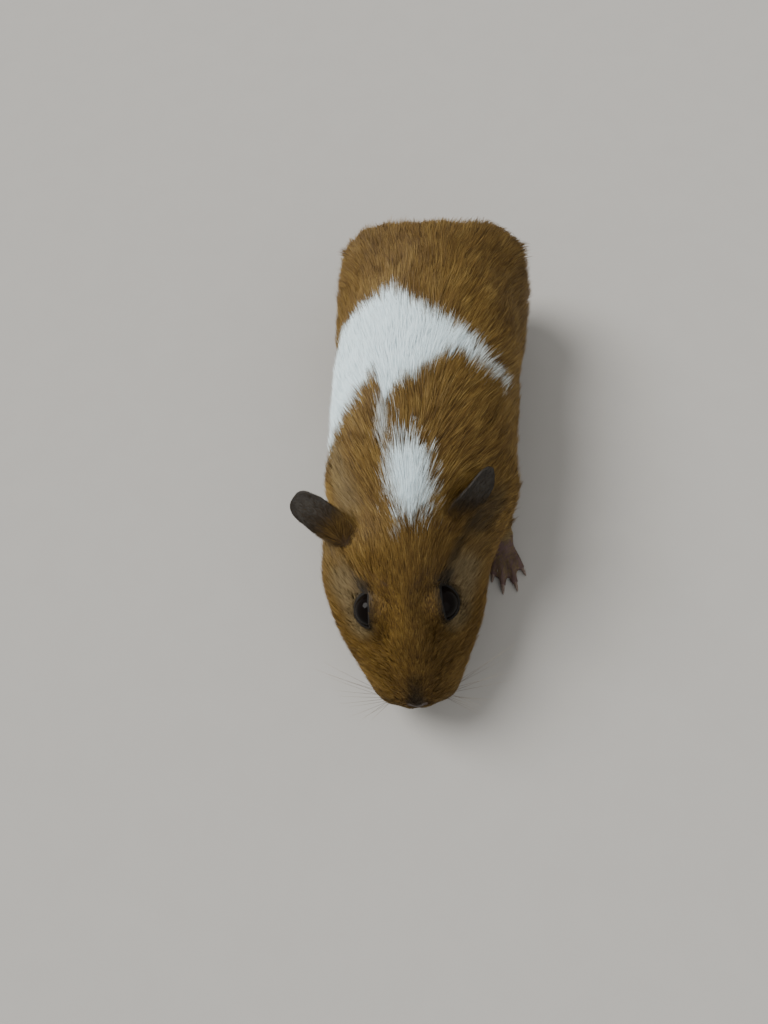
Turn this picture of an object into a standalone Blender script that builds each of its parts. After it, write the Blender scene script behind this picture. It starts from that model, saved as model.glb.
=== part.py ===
"""A young guinea pig, life size, as a still model that stands on its four feet.

Its head points along -Y and +Z is up. The solids give the outline of the animal out to the tips of its coat.
The body's masses are ellipsoids, joined in chains by convex hulls, fused by a voxel remesh and smoothed, then
parted by thin cuts into head, neck, trunk and legs. Ears, eyes, feet and claws are made on their own.
Lengths in the tables are millimetres. Left and right are the animal's own: it faces -Y, so its left is +X.
"""

import math
from collections import namedtuple

import bmesh
import bpy
from mathutils import Matrix, Vector

MM = 0.001
GAP = 0.3  # clearance between neighbouring solids
SIDES = {"left": 1, "right": -1}

NOSE_Y = -106.8
HEAD_X = 1.8  # where the nose tip lies across the body
HEAD_YAW = 8.3  # degrees that the head's back end swings to the animal's right
TRUNK_X = -1.4  # the trunk's middle, which the paired masses are measured from
BELLY_CUT = 9.0  # height at which the feet part from the legs

BODY_VOXEL = 2.0
FIRST_SMOOTHING = 4
SOFT_SMOOTHING = 26  # more, where the coat rounds the form
BODY_FACES_KEPT = 0.07
HEAD_SOFTNESS = 0.12  # share of the soft smoothing that the head takes
SOFT_HEIGHTS = (8, 20)  # the soft smoothing grows from nothing to all over these heights
SOFT_LENGTHS = (-62, -42)  # and from the head's share to all over these lengths
BALL_DETAIL = (20, 12)  # segments and rings of an ellipsoid of the body
TOE_DETAIL = (12, 8)
CLAW_DETAIL = (8, 6)

Ball = namedtuple("Ball", "x y z rx ry rz")  # centre and half sizes

TRUNK = (
    Ball(-0.9, 71, 42, 36, 29, 33),
    Ball(-1.0, 40, 44, 39, 34, 35),
    Ball(-2.2, 6, 43.5, 38, 34, 34.5),
    Ball(-2.4, -19, 40.5, 36.5, 26, 31),
    Ball(-4.5, -38, 39, 29.5, 19, 26),
)
NAPE = (Ball(-2.6, -16, 51, 16, 17, 22), Ball(-5, -38, 48.5, 14, 14, 20), Ball(-6.5, -52, 46, 12, 12, 18))
RUMP = (Ball(-25, 84, 45, 17, 20, 20), Ball(0, 82.5, 46, 20, 19.5, 23.5), Ball(25, 84, 44.5, 17.5, 20, 20))
HAUNCH = (Ball(25.5, 84, 36, 18, 20, 24), Ball(23.5, 55, 34, 19, 28, 25))
FLANK = (Ball(21.5, 28, 34, 18.5, 26, 24), Ball(21, -2, 33, 18, 26, 23))
SHOULDER = (Ball(23.5, -14, 33, 18, 22, 23), Ball(17.5, -36, 31, 16.5, 17, 20))

# The head stands in a frame of its own: its nose tip at y = 0, its neck along +y, heights from the floor.
SKULL = (
    Ball(3, 71, 40, 24, 20, 24),
    Ball(0, 57, 42, 23.5, 20, 22),
    Ball(0, 42, 41.5, 18.5, 16, 17),
    Ball(0, 28, 36.5, 14, 14, 16),
    Ball(0, 16, 29.5, 12, 11.5, 13.5),
    Ball(0, 9.5, 23.5, 10, 9.5, 12),
)
CHEEK = (
    Ball(15, 70, 34, 18.5, 14, 17),
    Ball(16, 56, 30, 19, 20, 18.5),
    Ball(13.4, 41, 27, 18, 17, 16),
    Ball(9.8, 25, 23.5, 14, 13.5, 13.5),
    Ball(7.4, 13, 19, 11, 10.8, 10.5),
)
CHIN = (Ball(0, 48, 21, 14, 18, 12.5), Ball(0, 14, 14, 8.5, 9.5, 7))

# Legs, from the body down. Here x is outwards from the trunk's middle.
LEGS = {
    "foreleg_left": (Ball(26.5, -19, 25, 12, 14, 15), Ball(31.5, -23, 13, 7, 8, 7), Ball(34, -27, 8, 5.2, 5.6, 4)),
    "foreleg_right": (Ball(26, -18, 25, 12, 14, 15), Ball(25.5, -16, 13, 7, 8, 7), Ball(26, -19, 8, 5.2, 5.6, 4)),
    "hindleg_left": (Ball(27, 66, 24, 13, 20, 16), Ball(28.5, 79, 14, 7, 9.5, 7), Ball(29, 83, 8, 5.2, 6.5, 4)),
    "hindleg_right": (Ball(27, 58, 24, 13, 20, 16), Ball(28.5, 69, 14, 7, 9.5, 7), Ball(29, 73, 8, 5.2, 6.5, 4)),
}
# A leg's share of the body: outwards of x, within a round top that runs down to a box.
LegRegion = namedtuple("LegRegion", "x y z radius half_length")
LEG_REGIONS = {
    "foreleg_left": LegRegion(18, -24, 24, 17, 18),
    "foreleg_right": LegRegion(18, -18, 24, 17, 18),
    "hindleg_left": LegRegion(18, 70, 27, 25, 28),
    "hindleg_right": LegRegion(18, 64, 27, 25, 28),
}

LEG_SPACE_REACH = 80
LEG_SPACE_BELOW = 5
LEG_SPACE_SEGMENTS = 24

# Cuts across the neck: y at the floor, and how far the cut leans back for each unit of height.
Cut = namedtuple("Cut", "y lean")
HEAD_CUT = Cut(-60, 0.44)
NECK_CUT = Cut(-49, 0.46)

Foot = namedtuple("Foot", "leg aim pads toes")
Toe = namedtuple("Toe", "turn x y length claw")
# A foot points along -y from its ankle and stands at the ankle's x and y. aim: degrees that it turns outwards.
# A toe starts at x, y and turns outwards by some degrees; its claw adds to its length.
FOREPAW = (Ball(0, 0, 9, 4.8, 5.0, 4.5), Ball(0, -5.5, 4.0, 4.9, 4.6, 3.6), Ball(0.3, -9.5, 3.0, 4.9, 3.2, 2.6))
FORETOES = (
    Toe(-16, -3.5, -9.0, 8.0, 2.8),
    Toe(-4, -1.6, -10.5, 11.5, 3.2),
    Toe(8, 1.5, -10.5, 11.0, 3.2),
    Toe(22, 3.8, -8.0, 8.0, 2.8),
)
HINDPAW = (
    Ball(0, 0, 9, 4.8, 5.6, 4.5),
    Ball(0, 1.5, 3.8, 4.4, 4.8, 3.8),
    Ball(0, -11, 4.0, 4.2, 5.0, 3.6),
    Ball(0, -21, 3.3, 5.2, 4.0, 2.9),
)
HINDTOES = (Toe(-12, -3.4, -20.5, 10.0, 4.0), Toe(1, 0, -22, 12.5, 4.4), Toe(15, 3.4, -20, 9.5, 4.0))
FEET = {
    "forefoot_left": Foot("foreleg_left", 9, FOREPAW, FORETOES),
    "forefoot_right": Foot("foreleg_right", 6, FOREPAW, FORETOES),
    "hindfoot_left": Foot("hindleg_left", 8, HINDPAW, HINDTOES),
    "hindfoot_right": Foot("hindleg_right", 10, HINDPAW, HINDTOES),
}
TOE_RADIUS = 1.8
CLAW_RADIUS = 0.9
CLAW_FACES_KEPT = 0.05
FOOT_VOXEL = 0.6
FOOT_SMOOTHING = 2
FOOT_FACES_KEPT = 0.016
FAR = 300  # beyond every solid
PAD_SINK = 0.6  # how deep pads and toes would reach below the floor, before the sole is cut flat

EYE_RADIUS = 7.0
EYE_CENTRE = Vector((13.0, 36.5, 42))  # in the head's frame, x outwards

EAR_LENGTH = 27
EAR_WIDTH = 21
EAR_THICKNESS = 1.2
EAR_ROOT = 6  # length of the ear that sits in the head
EAR_CUP = 5.5  # depth of its hollow side
EAR_DROOP = 3
EAR_TIP_DETAIL = 1.6  # above 1, the rows of the ear's mesh crowd towards its round tip
Ear = namedtuple("Ear", "x y z lean lift roll")
# x, y, z: where it leaves the head, in the head's frame, x outwards. lean: degrees back from straight out.
# lift: degrees above level. roll: degrees that its back edge rises, which turns its hollow side forwards.
EARS = {
    "ear_right": Ear(20.5, 62, 52, 37, 15, 58),
    "ear_left": Ear(23, 63, 51.5, 43, 43, 78),
}

COLOURS = {
    "coat": ((0.42, 0.20, 0.07), 0.75),
    "ear": ((0.10, 0.075, 0.065), 0.6),
    "skin": ((0.36, 0.23, 0.20), 0.6),
    "eye": ((0.006, 0.005, 0.005), 0.08),
    "claw": ((0.16, 0.11, 0.08), 0.4),
}


def clear_scene():
    for obj in list(bpy.data.objects):
        bpy.data.objects.remove(obj, do_unlink=True)


def new_collection(name):
    collection = bpy.data.collections.new(name)
    bpy.context.scene.collection.children.link(collection)
    return collection


def material(name):
    colour, roughness = COLOURS[name]
    made = bpy.data.materials.get(name) or bpy.data.materials.new(name)
    made.use_nodes = True
    shader = made.node_tree.nodes["Principled BSDF"]
    shader.inputs["Base Color"].default_value = (*colour, 1)
    shader.inputs["Roughness"].default_value = roughness
    shader.inputs["Metallic"].default_value = 0
    return made


def add_part(name, mesh, finish):
    obj = bpy.data.objects.new(name, mesh)
    parts.objects.link(obj)
    mesh.materials.clear()
    mesh.materials.append(material(finish))
    mesh.shade_smooth()
    return obj


def add_cutter(name, mesh):
    obj = bpy.data.objects.new(name, mesh)
    cutters.objects.link(obj)
    obj.hide_render = True
    obj.display_type = "WIRE"
    return obj


def with_modifiers_applied(obj):
    """The object's mesh as its modifiers leave it. The object is removed."""
    graph = bpy.context.evaluated_depsgraph_get()
    graph.update()
    mesh = bpy.data.meshes.new_from_object(obj.evaluated_get(graph))
    mesh.name = obj.name
    bpy.data.objects.remove(obj)
    return mesh


def boolean(obj, cutter, operation="DIFFERENCE"):
    modifier = obj.modifiers.new(f"{operation.title()} {cutter.name}", "BOOLEAN")
    modifier.operation = operation
    modifier.solver = "EXACT"
    modifier.object = cutter


def mesh_from(bm, name, place=None):
    """Ends a bmesh that is in millimetres, as a mesh in metres."""
    bmesh.ops.recalc_face_normals(bm, faces=bm.faces)
    bm.transform(Matrix.Scale(MM, 4) @ (place or Matrix()))
    mesh = bpy.data.meshes.new(name)
    bm.to_mesh(mesh)
    bm.free()
    return mesh


def sphere_points(segments, rings):
    bm = bmesh.new()
    bmesh.ops.create_uvsphere(bm, u_segments=segments, v_segments=rings, radius=1)
    points = [vert.co.copy() for vert in bm.verts]
    bm.free()
    return points


def ball_points(ball, side=1, middle=0.0, detail=BALL_DETAIL):
    """Points on an ellipsoid. A paired one lies on the given side of the middle."""
    centre = Vector((middle + side * ball.x, ball.y, ball.z))
    size = Vector((ball.rx, ball.ry, ball.rz))
    return [centre + point * size for point in sphere_points(*detail)]


def add_hull(bm, points):
    made = [bm.verts.new(point) for point in points]
    bmesh.ops.convex_hull(bm, input=made)
    bmesh.ops.delete(bm, geom=[vert for vert in made if not vert.link_faces], context="VERTS")


def add_chain(bm, balls, side=1, middle=0.0, place=None, detail=BALL_DETAIL):
    """Joins each ellipsoid to the next by their convex hull."""
    place = place or Matrix()
    for pair in zip(balls, balls[1:]):
        points = [point for ball in pair for point in ball_points(ball, side, middle, detail)]
        add_hull(bm, [place @ point for point in points])


def add_box(bm, low, high):
    low, high = Vector(low), Vector(high)
    place = Matrix.Translation((low + high) / 2) @ Matrix.Diagonal((*(high - low), 1))
    return bmesh.ops.create_cube(bm, size=1, matrix=place)["verts"]


def box_cutter(name, low, high):
    bm = bmesh.new()
    add_box(bm, low, high)
    return add_cutter(name, mesh_from(bm, name))


def grown(mesh, name, by):
    """A cutter that stands proud of the mesh by the given distance."""
    obj = add_cutter(name, mesh.copy())
    displace = obj.modifiers.new("Grow", "DISPLACE")
    displace.direction = "NORMAL"
    displace.mid_level = 0
    displace.strength = by * MM
    return add_cutter(name, with_modifiers_applied(obj))


def remeshed(mesh, name, voxel):
    obj = add_cutter(name, mesh)
    remesh = obj.modifiers.new("Fuse", "REMESH")
    remesh.mode = "VOXEL"
    remesh.voxel_size = voxel * MM
    return with_modifiers_applied(obj)


def smooth(obj, iterations, group=""):
    modifier = obj.modifiers.new("Smooth", "SMOOTH")
    modifier.factor = 0.5
    modifier.iterations = iterations
    modifier.vertex_group = group


def thin_out(obj, share):
    modifier = obj.modifiers.new("Thin out", "DECIMATE")
    modifier.ratio = share


def head_frame():
    """Takes millimetres in the head's frame to millimetres in the animal's."""
    return Matrix.Translation((HEAD_X, NOSE_Y, 0)) @ Matrix.Rotation(math.radians(HEAD_YAW), 4, "Z")


def share_of_way(value, start, end):
    return min(max((value - start) / (end - start), 0), 1)


def softness(point):
    """How much of the soft smoothing the body takes at this point, given in millimetres."""
    above_feet = share_of_way(point.z, *SOFT_HEIGHTS)
    behind_head = share_of_way(point.y, *SOFT_LENGTHS)
    return above_feet * (HEAD_SOFTNESS + (1 - HEAD_SOFTNESS) * behind_head)


def body_mesh():
    """The whole body out to the coat's surface, with the legs down to the ankles."""
    bm = bmesh.new()
    add_chain(bm, TRUNK)
    add_chain(bm, NAPE)
    add_chain(bm, SKULL, place=head_frame())
    add_chain(bm, CHIN, place=head_frame())
    add_chain(bm, RUMP, middle=TRUNK_X)
    for side in SIDES.values():
        for masses in (HAUNCH, FLANK, SHOULDER):
            add_chain(bm, masses, side, TRUNK_X)
        add_chain(bm, CHEEK, side, place=head_frame())
    for name, masses in LEGS.items():
        add_chain(bm, masses, side_of(name), TRUNK_X)
    mesh = remeshed(mesh_from(bm, "body"), "body", BODY_VOXEL)
    obj = add_cutter("body", mesh)
    soft = obj.vertex_groups.new(name="soft")
    for vertex in mesh.vertices:
        soft.add([vertex.index], softness(vertex.co / MM), "REPLACE")
    smooth(obj, FIRST_SMOOTHING)
    smooth(obj, SOFT_SMOOTHING, "soft")
    thin_out(obj, BODY_FACES_KEPT)
    return with_modifiers_applied(obj)


def slanted_space(name, cut, ahead):
    """All space ahead of a cut across the neck, or all space behind it."""
    near_y = cut.y - GAP / 2 if ahead else cut.y + GAP / 2
    low_y, high_y = (near_y - FAR, near_y) if ahead else (near_y, near_y + FAR)
    bm = bmesh.new()
    verts = add_box(bm, (-FAR, low_y, -FAR / 2), (FAR, high_y, FAR / 2))
    for vert in verts:
        vert.co.y += cut.lean * vert.co.z
    return add_cutter(name, mesh_from(bm, name))


def leg_space(name, grow=0.0):
    """The space whose flesh belongs to a leg: a round top over a box that reaches below the floor."""
    region = LEG_REGIONS[name]
    side = side_of(name)
    radius, half_length = region.radius + grow, region.half_length + grow
    points = []
    for x in (region.x - grow, LEG_SPACE_REACH):
        for step in range(LEG_SPACE_SEGMENTS):
            turn = math.tau * step / LEG_SPACE_SEGMENTS
            points.append((x, region.y + half_length * math.cos(turn), region.z + radius * math.sin(turn)))
        points += [(x, region.y + end * half_length, -LEG_SPACE_BELOW) for end in (-1, 1)]
    bm = bmesh.new()
    add_hull(bm, [Vector((TRUNK_X + side * x, y, z)) for x, y, z in points])
    return add_cutter(f"{name}_space_{grow}", mesh_from(bm, name))


def add_body(body):
    head = add_part("head", body.copy(), "coat")
    boolean(head, slanted_space("ahead_of_head_cut", HEAD_CUT, True), "INTERSECT")
    neck = add_part("neck", body.copy(), "coat")
    boolean(neck, slanted_space("behind_head_cut", HEAD_CUT, False), "INTERSECT")
    boolean(neck, slanted_space("ahead_of_neck_cut", NECK_CUT, True), "INTERSECT")
    behind_neck = slanted_space("behind_neck_cut", NECK_CUT, False)
    trunk = add_part("trunk", body.copy(), "coat")
    boolean(trunk, behind_neck, "INTERSECT")
    over_feet = box_cutter("over_feet", (-FAR, -FAR, BELLY_CUT), (FAR, FAR, FAR))
    for name in LEGS:
        boolean(trunk, leg_space(name, GAP))
        leg = add_part(name, body.copy(), "coat")
        boolean(leg, leg_space(name), "INTERSECT")
        boolean(leg, behind_neck, "INTERSECT")
        boolean(leg, over_feet, "INTERSECT")
    return head, neck, trunk


def side_of(name):
    return SIDES[name.split("_")[-1]]


def toe_tip(toe, side):
    turn = math.radians(toe.turn)
    x = toe.x + toe.length * math.sin(turn)
    return Vector((side * x, toe.y - toe.length * math.cos(turn), TOE_RADIUS - PAD_SINK / 2))


def foot_mesh(name, foot):
    """A foot with its toes, in its own frame, fused and cut off flat at the sole and at the ankle."""
    side = side_of(name)
    bm = bmesh.new()
    add_chain(bm, foot.pads, side)
    palm = foot.pads[-1]
    for toe in foot.toes:
        tip = toe_tip(toe, 1)
        base = Vector((toe.x, toe.y, palm.z))
        knuckle = base.lerp(tip, 0.5) + Vector((0, 0, 0.9))
        joints = [Ball(*point, *[TOE_RADIUS * size] * 3) for point, size in ((base, 1.25), (knuckle, 1.05), (tip, 1))]
        add_chain(bm, joints, side, detail=TOE_DETAIL)
    mesh = remeshed(mesh_from(bm, name), name, FOOT_VOXEL)
    obj = add_cutter(name, mesh)
    smooth(obj, FOOT_SMOOTHING)
    thin_out(obj, FOOT_FACES_KEPT)
    return with_modifiers_applied(obj)


def claw_mesh(length):
    """A claw that grows from the origin along -y and bends down to the floor."""
    bm = bmesh.new()
    joints = [
        Ball(0, 0.6, 0, *[CLAW_RADIUS] * 3),
        Ball(0, -length * 0.45, -0.1, *[CLAW_RADIUS * 0.8] * 3),
        Ball(0, -length, -0.75, *[CLAW_RADIUS * 0.35] * 3),
    ]
    add_chain(bm, joints, detail=CLAW_DETAIL)
    mesh = remeshed(mesh_from(bm, "claw"), "claw", CLAW_RADIUS / 4)
    obj = add_cutter("claw", mesh)
    smooth(obj, 1)
    thin_out(obj, CLAW_FACES_KEPT)
    return with_modifiers_applied(obj)


def put(obj, location, turn):
    """Stands an object at a place in millimetres, turned about the vertical by an angle in degrees."""
    obj.location = Vector(location) * MM
    obj.rotation_euler = (0, 0, math.radians(turn))


def add_feet():
    floor_to_ankle = box_cutter("floor_to_ankle", (-FAR, -FAR, 0), (FAR, FAR, BELLY_CUT - GAP))
    for name, foot in FEET.items():
        side = side_of(name)
        ankle = LEGS[foot.leg][-1]
        place = Vector((TRUNK_X + side * ankle.x, ankle.y, -PAD_SINK))
        obj = add_part(name, foot_mesh(name, foot), "skin")
        put(obj, place, side * foot.aim)
        boolean(obj, floor_to_ankle, "INTERSECT")
        turn = Matrix.Rotation(math.radians(side * foot.aim), 4, "Z")
        for number, toe in enumerate(foot.toes, 1):
            mesh = claw_mesh(toe.claw)
            tip = place + turn @ toe_tip(toe, side) + Vector((0, 0, 0.3))
            heading = side * (foot.aim + toe.turn)
            socket = grown(mesh, f"{name}_socket_{number}", GAP)
            claw = add_part(f"claw_{number}_{name}", mesh, "claw")
            for piece in (claw, socket):
                out = Matrix.Rotation(math.radians(heading), 4, "Z") @ Vector((0, -TOE_RADIUS * 0.5, 0))
                put(piece, tip + out, heading)
            boolean(obj, socket)


def ear_half_width(along):
    """Half width of the petal, as a share of its greatest, from its root at 0 to its tip at 1."""
    widest = 0.5
    if along < widest:
        return 0.62 + 0.38 * math.sin(math.pi / 2 * max(along, 0) / widest)
    return (1 - ((along - widest) / (1 - widest)) ** 2.3) ** (1 / 2.3)


def ear_mesh(name, thickness, longer=0.0):
    """A cupped petal along +x, its hollow side down, its width along y."""
    bm = bmesh.new()
    bmesh.ops.create_grid(bm, x_segments=9, y_segments=6, size=0.5)
    start = -(EAR_ROOT + longer) / EAR_LENGTH
    for vert in bm.verts:
        along = 1 - (1 - start) * (0.5 - vert.co.x) ** EAR_TIP_DETAIL
        across = 2 * vert.co.y
        half_width = (EAR_WIDTH / 2 + longer) * ear_half_width(min(along, 1))
        cup = EAR_CUP * (1 - 0.35 * max(along, 0)) * (across * half_width * 2 / EAR_WIDTH) ** 2
        vert.co = (along * EAR_LENGTH, across * half_width, -cup - EAR_DROOP * along * abs(along))
    bmesh.ops.remove_doubles(bm, verts=bm.verts, dist=0.01)
    obj = add_cutter(name, mesh_from(bm, name))
    shell = obj.modifiers.new("Shell", "SOLIDIFY")
    shell.thickness = thickness * MM
    shell.offset = 0
    return with_modifiers_applied(obj)


def ear_place(ear, side):
    """The ear's own axes and root, in the animal's frame, in metres."""
    lean, lift, roll = (math.radians(angle) for angle in (ear.lean, ear.lift, ear.roll))
    length = Vector((side * math.cos(lean) * math.cos(lift), math.sin(lean) * math.cos(lift), math.sin(lift)))
    back = Vector((-side * math.sin(lean), math.cos(lean), 0))
    over = length.cross(back) * side
    width = back * math.cos(roll) + over * math.sin(roll)
    convex = length.cross(width)
    axes = Matrix((length, width, convex)).transposed().to_4x4()
    if side < 0:
        axes = axes @ Matrix.Rotation(math.pi, 4, "X")
    root = Matrix.Translation(Vector((side * ear.x, ear.y, ear.z)))
    place = head_frame() @ root @ axes
    place.translation *= MM
    return place


def add_ears(flesh):
    for name, ear in EARS.items():
        place = ear_place(ear, side_of(name))
        obj = add_part(name, ear_mesh(name, EAR_THICKNESS), "ear")
        slot = add_cutter(f"{name}_slot", ear_mesh(name, EAR_THICKNESS + 2 * GAP, GAP))
        obj.matrix_world = place
        slot.matrix_world = place
        for part in flesh:
            boolean(part, slot)


def add_eyes(head):
    for side_name, side in SIDES.items():
        centre = head_frame() @ Vector((side * EYE_CENTRE.x, EYE_CENTRE.y, EYE_CENTRE.z))
        for name, radius in ((f"eye_{side_name}", EYE_RADIUS), (f"eye_{side_name}_socket", EYE_RADIUS + GAP)):
            bm = bmesh.new()
            bmesh.ops.create_uvsphere(bm, u_segments=16, v_segments=10, radius=radius)
            mesh = mesh_from(bm, name)
            obj = add_cutter(name, mesh) if "socket" in name else add_part(name, mesh, "eye")
            obj.location = centre * MM
        boolean(head, bpy.data.objects[f"eye_{side_name}_socket"])


def stand_on_origin():
    """Moves everything together so that the origin lies under the middle of the animal's bounding box."""
    graph = bpy.context.evaluated_depsgraph_get()
    graph.update()
    places = [
        obj.matrix_world @ vertex.co for obj in parts.objects for vertex in obj.evaluated_get(graph).data.vertices
    ]
    low, high = (Vector(pick(place[i] for place in places) for i in range(3)) for pick in (min, max))
    stand = bpy.data.objects.new("guinea_pig_stand_point", None)
    parts.objects.link(stand)
    for obj in [*parts.objects, *cutters.objects]:
        if obj != stand:
            obj.parent = stand
    stand.location = (-(low.x + high.x) / 2, -(low.y + high.y) / 2, -low.z)


def main():
    head, neck, trunk = add_body(body_mesh())
    add_ears((head, neck, trunk))
    add_eyes(head)
    add_feet()
    stand_on_origin()


clear_scene()
parts = new_collection("guinea_pig")
cutters = new_collection("cutters")
main()
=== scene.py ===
"""Looks of a young guinea pig that stands on its four feet: its skin, coat, eyes, ears, whiskers and claws.

Shapes are worked out in the animal's own frame: millimetres, nose along -y, its left along +x, floor at 0.
The head has a frame of its own: nose tip at y = 0, neck along +y, turned with the head.
"""

import math
from collections import namedtuple
from itertools import product

import bmesh
import bpy
import numpy as np
from mathutils import Matrix, Vector
from mathutils.bvhtree import BVHTree
from mathutils.kdtree import KDTree


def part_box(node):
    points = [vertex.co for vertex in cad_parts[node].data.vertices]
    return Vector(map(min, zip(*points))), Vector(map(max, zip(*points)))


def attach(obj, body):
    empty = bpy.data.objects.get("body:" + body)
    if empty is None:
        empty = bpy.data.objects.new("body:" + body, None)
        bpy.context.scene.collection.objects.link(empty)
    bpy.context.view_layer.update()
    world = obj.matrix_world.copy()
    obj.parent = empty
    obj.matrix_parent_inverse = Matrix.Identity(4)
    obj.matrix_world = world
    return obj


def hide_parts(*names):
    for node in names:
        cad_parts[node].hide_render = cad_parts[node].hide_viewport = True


MM = 0.001
SIDES = {"left": 1, "right": -1}
SEED = 20

# Driving sizes, as in the solids.
EYE_RADIUS = 7.0
EYE_IN_HEAD = np.array([13.0, 36.5, 42.0])
HEAD_YAW = 8.3
NOSE_TIP = np.array([1.8, -106.8, 0.0])
TRUNK_AXIS = np.array([-2.0, 40.0])  # x and z of the line that angles round the trunk are taken from
ANKLE_HEIGHT = 9.0

FLESH = ("head", "neck", "trunk", "foreleg_left", "foreleg_right", "hindleg_left", "hindleg_right")
FEET = ("forefoot_left", "forefoot_right", "hindfoot_left", "hindfoot_right")


# Small sums on arrays


def ramp(x, low, high):
    """0 below low, 1 above high, with soft ends. It falls where low is above high."""
    t = np.clip((np.asarray(x, float) - low) / (high - low), 0, 1)
    return t * t * (3 - 2 * t)


def unit(v):
    return v / np.maximum(np.linalg.norm(v, axis=-1, keepdims=True), 1e-9)


def size_of(v):
    return np.linalg.norm(v, axis=1)


def along_table(x, table):
    """Reads a table of (x, value) pairs with straight lines between them."""
    places, values = zip(*table)
    return np.interp(x, places, values)


def waves(p, wavelength, seed, count=7):
    """A smooth wandering value from about -1 to 1, with features about a wavelength across."""
    draw = np.random.default_rng(seed)
    ways = unit(draw.normal(size=(count, 3))) * (2 * math.pi / wavelength)
    ways *= draw.uniform(0.6, 1.5, (count, 1))
    return np.sin(p @ ways.T + draw.uniform(0, 2 * math.pi, count)).sum(1) / math.sqrt(count) * 0.8


def wandering(p, wavelength, seed):
    """A vector at each point that wanders smoothly."""
    return np.stack([waves(p, wavelength, seed + k) for k in range(3)], axis=1)


def from_line(p, a, b):
    """Distance of each point from the line between a and b."""
    a, b = np.array(a, float), np.array(b, float)
    t = np.clip((p - a) @ (b - a) / ((b - a) @ (b - a)), 0, 1)
    return size_of(p - a - t[:, None] * (b - a))


def along_skin(way, normals):
    """What is left of each way once it is laid flat on the skin."""
    return unit(way - (way * normals).sum(1)[:, None] * normals)


# Frames


def centre_of(node):
    low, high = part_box(node)
    return np.array((low + high) / 2) / MM


TURN = np.array(Matrix.Rotation(math.radians(HEAD_YAW), 3, "Z"))


def from_head(p):
    return np.asarray(p, float) @ TURN.T + NOSE_TIP


def in_head(p):
    return (p - NOSE_TIP) @ TURN


def in_half_head(p):
    """In the head's frame, with its right side folded over on to its left."""
    head = in_head(p)
    head[:, 0] = np.abs(head[:, 0])
    return head


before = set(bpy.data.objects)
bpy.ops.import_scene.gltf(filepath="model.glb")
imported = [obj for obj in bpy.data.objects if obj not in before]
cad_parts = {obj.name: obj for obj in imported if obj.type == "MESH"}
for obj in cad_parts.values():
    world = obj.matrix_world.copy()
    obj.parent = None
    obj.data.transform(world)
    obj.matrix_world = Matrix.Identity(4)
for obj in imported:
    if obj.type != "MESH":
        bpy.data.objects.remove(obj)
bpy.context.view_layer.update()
SHIFT = centre_of("eye_left") - from_head(EYE_IN_HEAD)  # from the animal's frame to the part's


# Meshes to and from arrays


def arrays_of(node):
    """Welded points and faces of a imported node, in the animal's frame."""
    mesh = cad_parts[node].data
    points = np.array([v.co for v in mesh.vertices]) / MM - SHIFT
    faces = np.array([p.vertices for p in mesh.polygons])
    _, first, index = np.unique(np.round(points, 3), axis=0, return_index=True, return_inverse=True)
    return points[first], index.reshape(-1)[faces]


def mesh_object(name, points, faces, smooth=True):
    mesh = bpy.data.meshes.new(name)
    corners = faces.shape[1]
    mesh.vertices.add(len(points))
    mesh.vertices.foreach_set("co", ((points + SHIFT) * MM).astype(np.float32).ravel())
    mesh.loops.add(faces.size)
    mesh.loops.foreach_set("vertex_index", faces.astype(np.int32).ravel())
    mesh.polygons.add(len(faces))
    mesh.polygons.foreach_set("loop_start", np.arange(0, faces.size, corners, dtype=np.int32))
    mesh.update(calc_edges=True)
    mesh.polygons.foreach_set("use_smooth", np.full(len(faces), smooth))
    made = bpy.data.objects.new(name, mesh)
    bpy.context.scene.collection.objects.link(made)
    return made


def evaluated_arrays(obj):
    """Points and triangles of an object with its modifiers, which is then removed."""
    graph = bpy.context.evaluated_depsgraph_get()
    mesh = bpy.data.meshes.new_from_object(obj.evaluated_get(graph), depsgraph=graph)
    mesh.calc_loop_triangles()
    points = np.empty(len(mesh.vertices) * 3, np.float32)
    mesh.vertices.foreach_get("co", points)
    faces = np.empty(len(mesh.loop_triangles) * 3, np.int32)
    mesh.loop_triangles.foreach_get("vertices", faces)
    bpy.data.objects.remove(obj)
    bpy.data.meshes.remove(mesh)
    return points.reshape(-1, 3).astype(float) / MM - SHIFT, faces.reshape(-1, 3)


def arrays_in(mesh):
    faces = [[v.index for v in f.verts] for f in mesh.faces]
    return np.array([v.co for v in mesh.verts]), np.array(faces)


def joined(pieces):
    """One set of points and faces from several."""
    points, faces = zip(*pieces)
    starts = np.cumsum([0, *map(len, points)])
    return np.concatenate(points), np.concatenate([f + start for f, start in zip(faces, starts)])


def band_faces(rows, across):
    """Triangles between rows of points that each run round in a ring."""
    faces = []
    for row, k in product(range(rows - 1), range(across)):
        a, b = row * across + k, row * across + (k + 1) % across
        faces += [(a, a + across, b + across), (a, b + across, b)]
    return np.array(faces)


def face_normals(points, faces):
    a, b, c = (points[faces[:, k]] for k in range(3))
    return np.cross(b - a, c - a)


def point_normals(points, faces):
    lengths = face_normals(points, faces)
    total = np.zeros_like(points)
    for corner in range(3):
        for axis in range(3):
            total[:, axis] += np.bincount(faces[:, corner], lengths[:, axis], len(points))
    return unit(total)


def edges_of(faces):
    pairs = np.sort(np.concatenate([faces[:, [0, 1]], faces[:, [1, 2]], faces[:, [2, 0]]]), axis=1)
    return np.unique(pairs, axis=0)


def eased(values, edges, rounds, share=0.5):
    """Moves each point's value towards the mean of its neighbours', some rounds over."""
    here, there = np.concatenate([edges, edges[:, ::-1]]).T
    count = np.maximum(np.bincount(here, minlength=len(values)), 1)
    for _ in range(rounds):
        means = [np.bincount(here, column[there], len(values)) / count for column in values.T]
        values = values + (np.stack(means, axis=1) - values) * share
    return values


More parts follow.
